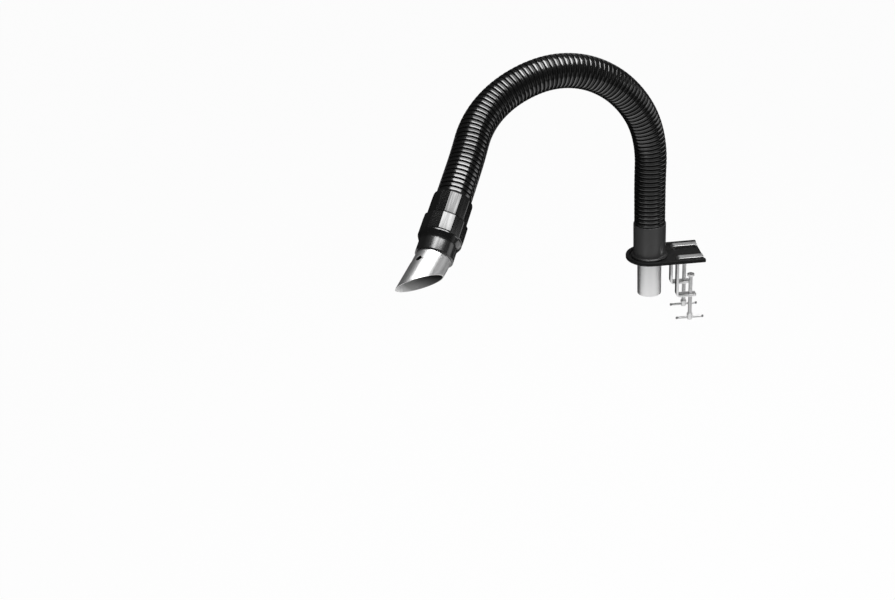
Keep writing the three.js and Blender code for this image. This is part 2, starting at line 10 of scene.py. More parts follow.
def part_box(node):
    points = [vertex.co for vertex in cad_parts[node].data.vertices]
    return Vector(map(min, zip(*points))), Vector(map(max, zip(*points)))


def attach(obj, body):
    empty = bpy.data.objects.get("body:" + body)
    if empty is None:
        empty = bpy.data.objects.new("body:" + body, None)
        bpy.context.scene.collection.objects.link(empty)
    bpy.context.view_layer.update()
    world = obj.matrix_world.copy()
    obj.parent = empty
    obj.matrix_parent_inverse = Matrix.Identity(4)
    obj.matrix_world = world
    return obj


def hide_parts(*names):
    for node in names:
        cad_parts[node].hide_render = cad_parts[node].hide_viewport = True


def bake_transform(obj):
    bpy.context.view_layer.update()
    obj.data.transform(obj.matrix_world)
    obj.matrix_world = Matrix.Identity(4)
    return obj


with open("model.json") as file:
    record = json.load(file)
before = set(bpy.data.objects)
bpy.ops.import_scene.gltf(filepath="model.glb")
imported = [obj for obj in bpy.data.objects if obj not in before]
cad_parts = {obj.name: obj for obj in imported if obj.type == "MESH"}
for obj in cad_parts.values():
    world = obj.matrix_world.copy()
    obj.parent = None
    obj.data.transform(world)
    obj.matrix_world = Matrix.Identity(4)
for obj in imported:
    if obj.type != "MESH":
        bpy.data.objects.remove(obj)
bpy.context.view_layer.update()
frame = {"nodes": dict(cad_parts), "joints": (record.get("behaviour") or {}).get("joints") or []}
joints = {joint["name"]: joint for joint in frame["joints"]}

MM = 0.001

# Hose
HOSE_RADIUS = 31.5 * MM       # over the ribs
RIB_HEIGHT = 2.4 * MM
HOSE_WALL = 1.2 * MM          # below the grooves
SECTION_LENGTH = 63 * MM      # hose length that bends at one joint
RIBS_PER_SECTION = 7
GROOVE_SHARE = 0.22           # of a rib's pitch, on the flat of the groove
RIB_FLATNESS = 12             # higher is a flatter rib with tighter shoulders
RIB_SHOULDER = 0.7
RIB_CROWN = 0.08              # of the rib's height, from its shoulders up to its middle
HOSE_INSERT = 18 * MM         # held in the collar, and again in the cuff
LEAN_TURN = math.radians(52)  # way the hose leans at the collar, from -X towards -Y
HANDLED_FROM = 740 * MM       # from the collar; shinier from here to the cuff, as if by handling
STILL_TO = 150 * MM           # from the collar; shinier up to here, as if it hardly bent
RUB_MARKS = 70                # to a metre, roughly
HOSE_SIDES = 72
RIB_STEPS = 12
BORE_STEPS = 8
STRAIGHT_BEND = 1e-6          # radians; a smaller bend counts as straight

# Collar and spigot
COLLAR_RADIUS = 33.3 * MM
COLLAR_BORE = 31.8 * MM
COLLAR_BORE_DEPTH = 18.3 * MM
BEAD_WIDTH = 4 * MM
BEAD_HEIGHT = 5 * MM
SPIGOT_RADIUS = 25 * MM
SPIGOT_WALL = 1.5 * MM
SPIGOT_HOLE = 25.3 * MM

# Bracket
FLOOR = 3.5 * MM
LIP_HEIGHT = 4 * MM
LIP_WIDTH = 8 * MM
FLANGE_RADIUS = 49.3 * MM
TONGUE_END = 107 * MM         # from the duct's axis
LIP_EASE = 1.6 * MM
SLOT_EASE = 0.4 * MM

# Clamps, from the duct's axis and the bracket's underside
CLAMPS = ("front", "rear")
BACK_FACE = 50 * MM
BAR_WIDTH = 16 * MM
BAR_THICK = 5 * MM
BAR_BEND = 3 * MM
BAR_EASE = 0.8 * MM
BEND_STEPS = 8
UPPER_ARM_END = 105 * MM
LOWER_ARM_END = 92 * MM
JAW_OPENING = 78.5 * MM
FIT = 0.3 * MM
SCREW_HOLE = 4.45 * MM
SCREW_RADIUS = 4 * MM
THREAD_PITCH = 1.25 * MM
THREAD_DEPTH = 0.3 * MM
THREAD_FLANK = 2.6            # higher is a steeper flank
THREAD_CREST = 0.15           # higher is a wider flat on the crest
THREAD_STEPS = 8
HEAD_RADIUS = 6 * MM
HEAD_HEIGHT = 5 * MM
BOSS_RADIUS = 5 * MM
BOSS_HEIGHT = 9 * MM
BOSS_FLAT = 0.6               # of the boss's radius, level at its end
TIP_RADIUS = 2.5 * MM
TIP_LENGTH = 2 * MM
TIP_FLAT = 0.5                # of the tip's radius
PAD_RADIUS = 7.5 * MM
PAD_HEIGHT = 4 * MM
PAD_POINT = 0.01 * MM         # radius of the small rings that close a pad at its axis
PAD_ZINC = 3                  # times the screws' zinc, for a paler and duller pad
TOMMY_RADIUS = 2.5 * MM
TOMMY_LENGTH = 59 * MM
TOMMY_END_LENGTH = 5 * MM
TOMMY_END_WIDE = 3.3 * MM
TOMMY_END_THIN = 1.3 * MM
TOMMY_END_SHADE_SHARE = 0.35             # share of the pinched ends' painted shade, along the rest of the bar
SMALL_SIDES = 32

# Cuff, along its axis from the edge where the hose goes in
CUFF_SIDES = 12
CUFF_TURN = math.radians(10)
CUFF_FLAT = 34.8 * MM         # from the axis to a flat
CUFF_LENGTH = 44 * MM
CUFF_CHAMFER = 5 * MM
CUFF_CHAMFER_STEP = 1.5 * MM
CUFF_BORE = 31.8 * MM
CUFF_BORE_DEPTH = 18.3 * MM
TAIL_RADIUS = 30.8 * MM
TAIL_WALL = 2.5 * MM
TAIL_END = 74 * MM
SLEEVE_START = 44.3 * MM
SLEEVE_FLAT = 38 * MM
SLEEVE_CHAMFER = 3 * MM
FACETS_END = 82.3 * MM
LINE_START = 3 * MM           # line cut under the facets, above their end
LINE_DEPTH = 1.2 * MM
RIM_START = 1.5 * MM          # thin rim under that line, above the facets' end
RIM_PROUD = 0.2 * MM          # past the flats
RIM_DROP = 0.7 * MM           # below the facets' end
SOCKET_START = 92.8 * MM
SOCKET_RADIUS = 33.1 * MM
SOCKET_BORE = 30.2 * MM
SOCKET_END = 116.8 * MM
SLEEVE_BORE = 31.1 * MM
STOP_BORE = 27.4 * MM
FACET_ANGLES = (-15, -13.9, -12.6, -6.5, 0, 6.5, 12.6, 13.9)  # degrees from a flat's middle

# Nozzle
NOZZLE_RADIUS = 29.9 * MM
NOZZLE_WALL = 1.5 * MM
NOZZLE_LONG = 78.5 * MM       # longest side outside the socket
NOZZLE_SHORT = 28 * MM
NOZZLE_TURN = math.radians(-174)
NOZZLE_LEAN = math.radians(10)  # outside the socket, towards the longest side
NOZZLE_SIDES = 120
NOZZLE_STEPS = 14
KEYHOLE_DROP = 20 * MM
KEYHOLE_WIDTH = 8 * MM
KEYHOLE_HEIGHT = 7 * MM
KEYHOLE_TAIL = 14 * MM
KEYHOLE_TAIL_HEIGHT = 2 * MM
KEYHOLE_TURNS = (0, math.radians(-40))
KEYHOLE_SIDES = 20
BORE_HIGHLIGHT_START = 54 * MM          # from the socket's edge to where the bore's painted highlight begins
NOZZLE_EDGE = 0.35 * MM       # taken off the mouth's edges
BORE_SIDE = 0.7               # of the wall's depth, past which a point is in the bore

ROUND_SIDES = 96
EASE_STEPS = 4
SHARP_ANGLE = math.radians(38)
EASE_ANGLE = math.radians(35)

# Camera: aimed at the foot of the duct, then swung aside
CAMERA_DISTANCE = 2.0
CAMERA_AZIMUTH = math.radians(-10.755)
CAMERA_ELEVATION = math.radians(25.836)
CAMERA_YAW = math.radians(-12.33)
CAMERA_PITCH = math.radians(2.66)
CAMERA_ROLL = math.radians(0.16)
CAMERA_LENS = 37.13           # millimetres, as the sensor
CAMERA_SENSOR = 36

# Stage
BENCH_HEIGHT = 0.75           # from the floor up to the bracket
FLOOR_REACH = 20
FLOOR_GREY = 0.8
FLOOR_WHITE = 0.97            # share of plain white where the floor is seen directly
STUDIO_REACH = 12             # to the walls and the roof
STUDIO_LEVEL = 0.03           # of the dim studio round the set
WHITE_X = (-1.5, 1.3)         # edges of the white floor in reflections
WHITE_Y = (-1.65, 0.3)
CARD_LIFT = 0.01              # of the dark floors, above the white one
FRONT_FLOOR_LEVEL = 0.25
DARK_FLOOR_LEVEL = 0.02
BACK_CARD = ((-0.1, 2.4, 0.75), (1.2, 2.4, 1.75))  # lowest and highest corners
BACK_CARD_LEVEL = 0.5
RIGHT_CARD = ((2, -0.9, -0.15), (2, 1.4, 0.7))
RIGHT_CARD_LEVEL = 1.0

duct = Vector(joints["base_swivel"]["pos_m"])
duct.z = 0
plate_place = Matrix.Translation(duct)
hose_count = sum(name.startswith("flex_") for name in joints)


class Value:
    """A value in a node tree; an expression on values adds its Math nodes."""

    def __init__(self, nodes, socket):
        self.nodes = nodes
        self.socket = socket

    def math(self, operation, first, second):
        return self.nodes.add("ShaderNodeMath", {"operation": operation}, {0: first, 1: second})

    def __add__(self, other):
        return self.math("ADD", self, other)

    def __radd__(self, other):
        return self.math("ADD", other, self)

    def __sub__(self, other):
        return self.math("SUBTRACT", self, other)

    def __rsub__(self, other):
        return self.math("SUBTRACT", other, self)

    def __mul__(self, other):
        return self.math("MULTIPLY", self, other)

    def __rmul__(self, other):
        return self.math("MULTIPLY", other, self)

    def clamped(self):
        return self.nodes.add("ShaderNodeClamp", {}, {0: self})


class Nodes:
    """A node tree being filled."""

    def __init__(self, owner):
        owner.use_nodes = True
        self.tree = owner.node_tree
        self.tree.nodes.clear()

    def add(self, kind, settings=None, inputs=None, output=0):
        made = self.tree.nodes.new(kind)
        for name, value in (settings or {}).items():
            setattr(made, name, value)
        for key, value in (inputs or {}).items():
            if isinstance(value, Value):
                self.tree.links.new(value.socket, made.inputs[key])
            else:
                made.inputs[key].default_value = value
        return Value(self, made.outputs[output]) if made.outputs else None

    def point(self):
        return self.add("ShaderNodeAttribute", {"attribute_name": "own_place"}, output="Vector")

    def stretched(self, x, y, z):
        """A point on the piece with each direction scaled, for lines and brushing."""
        return self.add("ShaderNodeVectorMath", {"operation": "MULTIPLY"}, {0: self.point(), 1: (x, y, z)})

    def noise(self, scale, detail=2.0, at=None):
        place = at if at else self.point()
        return self.add("ShaderNodeTexNoise", {}, {"Vector": place, "Scale": scale, "Detail": detail})

    def stored(self, name):
        return self.add("ShaderNodeAttribute", {"attribute_name": name}, output="Fac")

    def height(self, low, high):
        """0 up to one height on the piece, then rising to 1 at another."""
        z = self.add("ShaderNodeSeparateXYZ", {}, {0: self.point()}, output=2)
        return self.ranged(z, low, high)

    def ranged(self, value, low, high):
        """0 up to one value, then rising to 1 at another."""
        return self.add("ShaderNodeMapRange", {}, {0: value, 1: low, 2: high})

    def tint(self, share, first, second):
        return self.add("ShaderNodeMix", {"data_type": "RGBA"}, {0: share, 6: first, 7: second}, output=2)

    def bump(self, height, distance):
        return self.add("ShaderNodeBump", {}, {"Height": height, "Distance": distance, "Strength": 1.0})

    def surface(self, **inputs):
        names = {name.replace("_", " "): value for name, value in inputs.items()}
        shader = self.add("ShaderNodeBsdfPrincipled", {}, names)
        self.add("ShaderNodeOutputMaterial", {}, {"Surface": shader})


def grey(level):
    return (level, level, level, 1)


def new_finish(name):
    material = bpy.data.materials.new(name)
    return material, Nodes(material)


# Glossy hose: ribs with a dull band across them, shinier by the cuff and the collar, dusty in the grooves
def hose_finish():
    material, nodes = new_finish("hose_pvc")
    groove = nodes.stored("groove")
    along = nodes.stored("along")
    lower_edge = nodes.stored("lower_edge")
    patches = nodes.noise(38, 4)
    grain = nodes.noise(1500, 2)
    dust = (groove * (0.35 + 0.5 * patches)).clamped()
    down_hose = nodes.add("ShaderNodeCombineXYZ", {}, {0: along})
    rubbed = nodes.ranged(nodes.noise(RUB_MARKS, 3, down_hose), 0.4, 0.6)
    handled = nodes.ranged(along, HANDLED_FROM, HANDLED_FROM + SECTION_LENGTH / 2)
    still = 1 - nodes.ranged(along, STILL_TO, STILL_TO + 2 * SECTION_LENGTH)
    parting = nodes.ranged(lower_edge, 0.28, 0.4) * (1 - nodes.ranged(lower_edge, 0.46, 0.58))
    crown = 0.08 + 0.3 * rubbed + (0.45 + 0.3 * rubbed) * nodes.ranged(lower_edge, 0.5, 0.6)
    polish = (crown * (1 - parting) + 0.5 * handled + 0.4 * still) * (1 - groove)
    nodes.surface(
        Base_Color=nodes.tint(dust, grey(0.003), grey(0.007)),
        Roughness=(0.32 + 0.06 * patches + 0.2 * groove).clamped(),
        Normal=nodes.bump(grain + 0.4 * patches, 0.003 * MM),
        Specular_IOR_Level=0.12,
        Coat_Weight=polish.clamped(),
        Coat_Roughness=0.16,
        Coat_IOR=2.0,
    )
    return material


# Polished black moulding of the cuff
def cuff_finish():
    material, nodes = new_finish("cuff_polymer")
    flow = nodes.noise(30, 3)
    streaks = nodes.noise(1, 3, nodes.stretched(330, 330, 14))
    on_sleeve = nodes.height(CUFF_LENGTH, SLEEVE_START)
    on_socket = nodes.height(FACETS_END, SOCKET_START + 4 * MM)
    polish = 0.1 + 0.6 * nodes.ranged(streaks, 0.35, 0.65) + 0.3 * on_sleeve
    nodes.surface(
        Base_Color=nodes.tint(flow, grey(0.003), grey(0.006)),
        Roughness=(0.1 + 0.04 * flow + 0.1 * streaks + 0.25 * on_socket).clamped(),
        Normal=nodes.bump(flow, 0.01 * MM),
        Specular_IOR_Level=0.4,
        Coat_Weight=polish.clamped(),
        Coat_Roughness=0.19,
        Coat_IOR=1.9,
    )
    return material


# Satin charcoal moulding of the collar, with painted shade making it blacker round its foot, where it sits
# in the bracket's rim
def collar_finish():
    material, nodes = new_finish("collar_polymer")
    patches = nodes.noise(45, 4)
    above_foot_shade = nodes.height(FLOOR + 4 * MM, FLOOR + 9 * MM)
    charcoal = nodes.tint(patches, grey(0.038), grey(0.044))
    grain = nodes.noise(2600, 3)
    nodes.surface(
        # Painted shade: blacker round the foot, fading out a little above the bracket's rim
        Base_Color=nodes.tint(above_foot_shade, grey(0.015), charcoal),
        Roughness=(0.28 + 0.04 * patches).clamped(),
        Normal=nodes.bump(grain, 0.006 * MM),
        Specular_IOR_Level=0.6,
    )
    return material


# Black powder coat with its orange peel
def bracket_finish():
    material, nodes = new_finish("bracket_paint")
    peel = nodes.noise(700, 2)
    patches = nodes.noise(35, 4)
    nodes.surface(
        Base_Color=nodes.tint(patches, grey(0.007), grey(0.012)),
        Roughness=(0.42 + 0.12 * patches).clamped(),
        Normal=nodes.bump(peel, 0.015 * MM),
        Specular_IOR_Level=0.1,
    )
    return material


# Bright plated bar, with fine rolling lines and cloudy marks, dull zinc on the screws, and painted shade
# darkening the tommy bars' pinched ends
def chrome_finish():
    material, nodes = new_finish("clamp_chrome")
    zinc = nodes.stored("zinc")
    painted_end_shade = nodes.stored("painted_end_shade")
    clouds = nodes.noise(60, 4)
    lines = nodes.noise(1, 3, nodes.stretched(120, 1800, 120))
    plated = nodes.tint((0.6 * clouds + 0.4 * zinc).clamped(), grey(0.74), grey(0.94))
    nodes.surface(
        # Painted shade: darker on the tommy bars' pinched ends, and a little along the rest of each bar
        Base_Color=nodes.tint(painted_end_shade, plated, grey(0.28)),
        Metallic=1 - 0.3 * zinc,
        Roughness=(0.24 + 0.1 * clouds + 0.06 * lines + 0.1 * zinc).clamped(),
        Normal=nodes.bump(lines, 0.01 * MM),
    )
    return material


def turned_metal(name, dark, bright, roughness):
    """Metal with fine lines round its axis, as drawing or turning leaves them."""
    material, nodes = new_finish(name)
    rings = nodes.noise(1, 3, nodes.stretched(25, 25, 2400))
    clouds = nodes.noise(30, 4)
    nodes.surface(
        Base_Color=nodes.tint(0.6 * clouds + 0.4 * rings, grey(dark), grey(bright)),
        Metallic=1.0,
        Roughness=(roughness - 0.06 + 0.1 * clouds + 0.1 * rings).clamped(),
        Normal=nodes.bump(rings, 0.02 * MM),
    )
    return material


# Drawn aluminium outside, dull inside: a painted highlight by the tip, and painted shade that darkens the
# bore the further up it goes
def nozzle_finish():
    material, nodes = new_finish("nozzle_aluminium")
    inside = nodes.stored("inside")
    rings = nodes.noise(1, 3, nodes.stretched(25, 25, 2400))
    clouds = nodes.noise(30, 4)
    bright = nodes.tint(0.6 * clouds + 0.4 * rings, grey(0.76), grey(0.86))
    # Painted shade deep in the bore, fading out towards the tip, then a painted highlight by the tip
    out_of_bore_shade = nodes.height(SOCKET_END + KEYHOLE_DROP, SOCKET_END + BORE_HIGHLIGHT_START)
    tip_highlight = nodes.height(SOCKET_END + BORE_HIGHLIGHT_START, SOCKET_END + NOZZLE_LONG - 8 * MM)
    dull = nodes.tint(tip_highlight, nodes.tint(out_of_bore_shade, grey(0.03), grey(0.36)), grey(1.0))
    nodes.surface(
        Base_Color=nodes.tint(inside, bright, dull),
        Metallic=1 - inside,
        Roughness=(0.4 + 0.05 * clouds + 0.05 * rings + 0.2 * inside).clamped(),
        Normal=nodes.bump(rings, 0.015 * MM),
    )
    return material


def plain_moulding(name, low, high, roughness):
    """Unfinished moulding out of sight, with a little mottle."""
    material, nodes = new_finish(name)
    patches = nodes.noise(60, 3)
    nodes.surface(
        Base_Color=nodes.tint(patches, low, high),
        Roughness=(roughness + 0.12 * patches).clamped(),
        Normal=nodes.bump(nodes.noise(1800, 2), 0.03 * MM),
    )
    return material


finishes = {
    "hose_pvc": hose_finish(),
    "cuff_polymer": cuff_finish(),
    "collar_polymer": collar_finish(),
    "bracket_paint": bracket_finish(),
    "clamp_chrome": chrome_finish(),
    "ring_steel": turned_metal("ring_steel", 0.42, 0.55, 0.34),
    "spigot_metal": turned_metal("spigot_metal", 0.92, 0.98, 0.4),
    "nozzle_aluminium": nozzle_finish(),
    "liner_polymer": plain_moulding("liner_polymer", grey(0.13), grey(0.19), 0.5),
    "washer_polymer": plain_moulding("washer_polymer", (0.7, 0.69, 0.63, 1), (0.8, 0.78, 0.72, 1), 0.45),
    "seal_rubber": plain_moulding("seal_rubber", grey(0.012), grey(0.02), 0.75),
}


def shade(mesh):
    mesh.shade_smooth()
    mesh.set_sharp_from_angle(angle=SHARP_ANGLE)


def new_piece(name, points, faces, slot, place=Matrix()):
    mesh = bpy.data.meshes.new(name)
    mesh.from_pydata([tuple(point) for point in points], [], faces)
    shade(mesh)
    mesh.materials.append(finishes[slot])
    piece = bpy.data.objects.new(name, mesh)
    piece.matrix_world = place
    bpy.context.scene.collection.objects.link(piece)
    return piece


def points_of(piece):
    points = np.empty(len(piece.data.vertices) * 3, np.float32)
    piece.data.vertices.foreach_get("co", points)
    return points


def store(piece, name, values):
    """Stores a number on each point of a piece, for its finish."""
    layer = piece.data.attributes.new(name, "FLOAT", "POINT")
    layer.data.foreach_set("value", np.asarray(values, np.float32))


def rest_in_frame(piece):
    """Moves a piece's points into the row frame, and stores their own places for its finish."""
    mesh = piece.data
    mesh.attributes.new("own_place", "FLOAT_VECTOR", "POINT").data.foreach_set("vector", points_of(piece))
    mesh.transform(piece.matrix_world)
    piece.matrix_world = Matrix()


def stands_for(piece, node, body):
    rest_in_frame(piece)
    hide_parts(node)
    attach(piece, body)


def loft(rings, closed):
    """Skin over rings of points: the last joins the first if closed, otherwise both ends are capped."""
    rings = np.asarray(rings, float)
    count, sides = rings.shape[:2]
    faces = []
    for ring in range(count if closed else count - 1):
        here = ring * sides
        there = (ring + 1) % count * sides
        for side in range(sides):
            beside = (side + 1) % sides
            faces.append((here + side, here + beside, there + beside, there + side))
    if not closed:
        faces.append(tuple(reversed(range(sides))))
        faces.append(tuple(range((count - 1) * sides, count * sides)))
    return rings.reshape(-1, 3), faces


def eased(corners, closed=True):
    """An outline whose corners, as (x, y, ease), are rounded off over that length of each side."""
    points = []
    count = len(corners)
    for i, (x, y, ease) in enumerate(corners):
        here = np.array((x, y))
        if ease == 0 or (not closed and i in (0, count - 1)):
            points.append(here)
            continue
        before = np.array(corners[i - 1][:2]) - here
        after = np.array(corners[(i + 1) % count][:2]) - here
        start = before * min(ease / np.linalg.norm(before), 0.5)
        end = after * min(ease / np.linalg.norm(after), 0.5)
        for t in np.linspace(0, 1, EASE_STEPS + 1):
            points.append(here + (1 - t) ** 2 * start + t ** 2 * end)
    return points


def full_turn(sides):
    return np.arange(sides) / sides * 2 * math.pi


def ring_about_z(radius, angles, height):
    """Ring of points; the radius and the height are one number, or one for each angle."""
    heights = height * np.ones(len(angles))
    return np.column_stack((radius * np.cos(angles), radius * np.sin(angles), heights))


def spun(profile, angles, reach=1.0):
    """Rings of points from a profile of (radius, height), at the given angles about Z."""
    return [ring_about_z(radius * reach, angles, height) for radius, height in profile]


def round_skin(profile):
    """Closed skin of a profile spun about Z."""
    return loft(spun(profile, full_turn(ROUND_SIDES)), closed=True)


def prism(outline, low, high):
    """Solid with an outline of (x, y) points, which run anticlockwise seen from above."""
    flat = np.asarray(outline, float)
    rings = [np.column_stack((flat, np.full(len(flat), height))) for height in (low, high)]
    return loft(rings, closed=False)


def settle(piece):
    """Applies a piece's modifiers to its mesh."""
    graph = bpy.context.evaluated_depsgraph_get()
    mesh = bpy.data.meshes.new_from_object(piece.evaluated_get(graph))
    piece.modifiers.clear()
    piece.data = mesh
    shade(mesh)


def cut(piece, *solids):
    """Cuts solids, given as (points, faces) in the piece's own frame, out of a piece."""
    cutters = []
    for points, faces in solids:
        cutter = new_piece("cutter", points, faces, "seal_rubber", piece.matrix_world)
        cutters.append(cutter)
        modifier = piece.modifiers.new("cut", "BOOLEAN")
        modifier.operation = "DIFFERENCE"
        modifier.solver = "EXACT"
        modifier.object = cutter
    bpy.context.view_layer.update()
    settle(piece)
    for cutter in cutters:
        bpy.data.objects.remove(cutter)


def ease_edges(piece, width, segments=3):
    modifier = piece.modifiers.new("ease", "BEVEL")
    modifier.width = width
    modifier.segments = segments
    modifier.limit_method = "ANGLE"
    modifier.angle_limit = EASE_ANGLE
    modifier.harden_normals = False
    bpy.context.view_layer.update()
    settle(piece)


# Hose: each section follows its own bend, found from the joint that it straddles
def rest_bend(joint):
    low, high = joint["range_deg"]
    return math.radians(-(low + high) / 2)


def along_bend(axis, bend, distance):
    """Place at a distance along a section, in its start's frame; past its ends the hose is straight."""
    inside = min(max(distance, 0), SECTION_LENGTH)
    if abs(bend) < STRAIGHT_BEND:
        return Matrix.Translation((0, 0, distance))
    radius = SECTION_LENGTH / bend
    swing = inside / radius
    towards = axis.cross(Vector((0, 0, 1)))
    point = Vector((0, 0, radius * math.sin(swing))) + towards * radius * (1 - math.cos(swing))
    turn = Matrix.Rotation(swing, 4, axis)
    return Matrix.Translation(point) @ turn @ Matrix.Translation((0, 0, distance - inside))


def hose_runs():
    """For each section its number, the frame of its start, the axis it bends about and the bend."""
    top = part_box("hose_collar")[1].z
    place = Matrix.Translation((duct.x, duct.y, top)) @ Matrix.Rotation(math.pi + LEAN_TURN, 4, "Z")
    runs = []
    for number in range(1, hose_count + 1):
        joint = joints[f"flex_{number:02d}"]
        bend = rest_bend(joint)
        axis = place.to_3x3().inverted() @ Vector(joint["axis"])
        runs.append((number, place, axis, bend))
        place = place @ along_bend(axis, bend, SECTION_LENGTH)
    return runs, place


def rib_profile(start, end):
    """(radius, distance, groove, lower edge) over the ribs and back along the bore.

    Groove is 1 at a rib's foot, and lower edge rises across a rib to 1 on the side nearer the cuff.
    """
    pitch = SECTION_LENGTH / RIBS_PER_SECTION
    root = HOSE_RADIUS - RIB_HEIGHT
    points = [(root, start, 1, 0)]
    across = np.sin(np.linspace(-0.5, 0.5, RIB_STEPS + 1) * math.pi)
    for rib in range(round((end - start) / pitch)):
        middle = start + (rib + 0.5) * pitch
        for u in across:
            rise = max(0, 1 - abs(u) ** RIB_FLATNESS) ** RIB_SHOULDER - RIB_CROWN * u ** 2 * (1 - abs(u))
            distance = middle + u * (1 - GROOVE_SHARE) * pitch / 2
            points.append((root + RIB_HEIGHT * rise, distance, 1 - rise, (1 + u) / 2))
    points.append((root, end, 1, 0))
    for distance in np.linspace(end, start, BORE_STEPS):
        points.append((root - HOSE_WALL, distance, 1, 0))
    return points


def hose_section(number, place, axis, bend):
    start = -HOSE_INSERT if number == 1 else 0
    end = SECTION_LENGTH + (HOSE_INSERT if number == hose_count else 0)
    profile = rib_profile(start, end)
    circle = ring_about_z(1, full_turn(HOSE_SIDES), 0)
    rings = []
    for radius, distance, _, _ in profile:
        here = np.array(place @ along_bend(axis, bend, distance))
        rings.append(radius * circle @ here[:3, :3].T + here[:3, 3])
    name = f"hose_skin_{number:02d}"
    piece = new_piece(name, *loft(rings, closed=True), "hose_pvc")
    _, distances, grooves, lower_edges = np.array(profile).T
    store(piece, "along", np.repeat((number - 1) * SECTION_LENGTH + distances, HOSE_SIDES))
    store(piece, "groove", np.repeat(grooves, HOSE_SIDES))
    store(piece, "lower_edge", np.repeat(lower_edges, HOSE_SIDES))
    rest_in_frame(piece)
    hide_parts(f"hose_section_{number:02d}")
    finish_line = place @ along_bend(axis, bend, SECTION_LENGTH)
    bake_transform(piece)


runs, cuff_place = hose_runs()
for run in runs:
    hose_section(*run)


# Collar: smooth cup with a rolled top edge and a flared foot
def hose_collar():
    foot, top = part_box("hose_collar")[0].z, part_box("hose_collar")[1].z
    seat = top - COLLAR_BORE_DEPTH
    profile = eased([
        (SPIGOT_HOLE, foot, 0),
        (COLLAR_RADIUS + BEAD_WIDTH, foot, 0.6 * MM),
        (COLLAR_RADIUS + BEAD_WIDTH, foot + BEAD_HEIGHT / 2, 1.2 * MM),
        (COLLAR_RADIUS + BEAD_WIDTH / 3, foot + BEAD_HEIGHT / 2 + 0.6 * MM, 1 * MM),
        (COLLAR_RADIUS, foot + BEAD_HEIGHT, 1.6 * MM),
        (COLLAR_RADIUS, top, 0.9 * MM),
        (COLLAR_BORE, top, 0.5 * MM),
        (COLLAR_BORE, seat, 0),
        (SPIGOT_HOLE, seat, 0),
    ])
    piece = new_piece("collar_shell", *round_skin(profile), "collar_polymer", plate_place)
    stands_for(piece, "hose_collar", "swivel_collar")


def spigot_tube():
    low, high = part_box("spigot_tube")
    bore = SPIGOT_RADIUS - SPIGOT_WALL
    profile = eased([
        (bore, low.z, 0.5 * MM),
        (SPIGOT_RADIUS, low.z, 0.5 * MM),
        (SPIGOT_RADIUS, high.z, 0.5 * MM),
        (bore, high.z, 0.5 * MM),
    ])
    piece = new_piece("spigot_pipe", *round_skin(profile), "spigot_metal", plate_place)
    stands_for(piece, "spigot_tube", "swivel_collar")


def flat_ring(name, node, body, slot):
    """Finely rounded ring in place of a ring about the duct's axis."""
    low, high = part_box(node)
    outer = (high.y - low.y) / 2
    ease = (high.z - low.z) / 4
    profile = eased([
        (SPIGOT_HOLE, low.z, ease),
        (outer, low.z, ease),
        (outer, high.z, ease),
        (SPIGOT_HOLE, high.z, ease),
    ])
    piece = new_piece(name, *round_skin(profile), slot, plate_place)
    stands_for(piece, node, body)


# Bracket: flange with a raised rim, and a tongue with raised lips
def plate_outline(inset, end):
    half = FLANGE_RADIUS - inset
    turn = np.linspace(math.pi / 2, 3 * math.pi / 2, ROUND_SIDES // 2 + 1)
    arc = [(half * math.cos(a), half * math.sin(a)) for a in turn]
    return [(end, -half), (end, half), *arc]


def disc(radius, low, high, sides, x=0):
    return prism([(x + radius * math.cos(a), radius * math.sin(a)) for a in full_turn(sides)], low, high)


def box_prism(x0, x1, y0, y1, z0, z1):
    return prism([(x0, y0), (x1, y0), (x1, y1), (x0, y1)], z0, z1)


def bracket_plate():
    past = 2 * MM
    piece = new_piece("bracket_casting", *prism(plate_outline(0, TONGUE_END), 0, FLOOR + LIP_HEIGHT),
                      "bracket_paint", plate_place)
    cut(piece, prism(plate_outline(LIP_WIDTH, TONGUE_END + past), FLOOR, FLOOR + LIP_HEIGHT + past))
    ease_edges(piece, LIP_EASE, 4)
    bars = [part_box(f"clamp_frame_{side}") for side in CLAMPS]
    slots = [box_prism(BACK_FACE - FIT, BACK_FACE + BAR_BEND + BAR_THICK + FIT,
                       low.y - FIT, high.y + FIT, -past, FLOOR + past) for low, high in bars]
    cut(piece, disc(SPIGOT_HOLE, -past, FLOOR + past, ROUND_SIDES), *slots)
    ease_edges(piece, SLOT_EASE, 2)
    stands_for(piece, "bracket_plate", "bracket")


# Clamps
def bar_outline():
    """Side of the bar bent into a C, as (x, z) points."""
    outer = BAR_BEND + BAR_THICK
    top = FLOOR + FIT + BAR_THICK
    foot = -JAW_OPENING - BAR_THICK
    bend_x = BACK_FACE + outer
    quarter = np.linspace(0, math.pi / 2, BEND_STEPS + 1)

    def corner(radius, z, first):
        return [(bend_x + radius * math.cos(first + a), z + radius * math.sin(first + a)) for a in quarter]

    outside = corner(outer, top - outer, math.pi / 2) + corner(outer, foot + outer, math.pi)
    inside = corner(BAR_BEND, top - outer, math.pi / 2) + corner(BAR_BEND, foot + outer, math.pi)
    arms = [(LOWER_ARM_END, foot), (LOWER_ARM_END, foot + BAR_THICK)]
    return [(UPPER_ARM_END, top), *outside, *arms, *reversed(inside), (UPPER_ARM_END, top - BAR_THICK)]


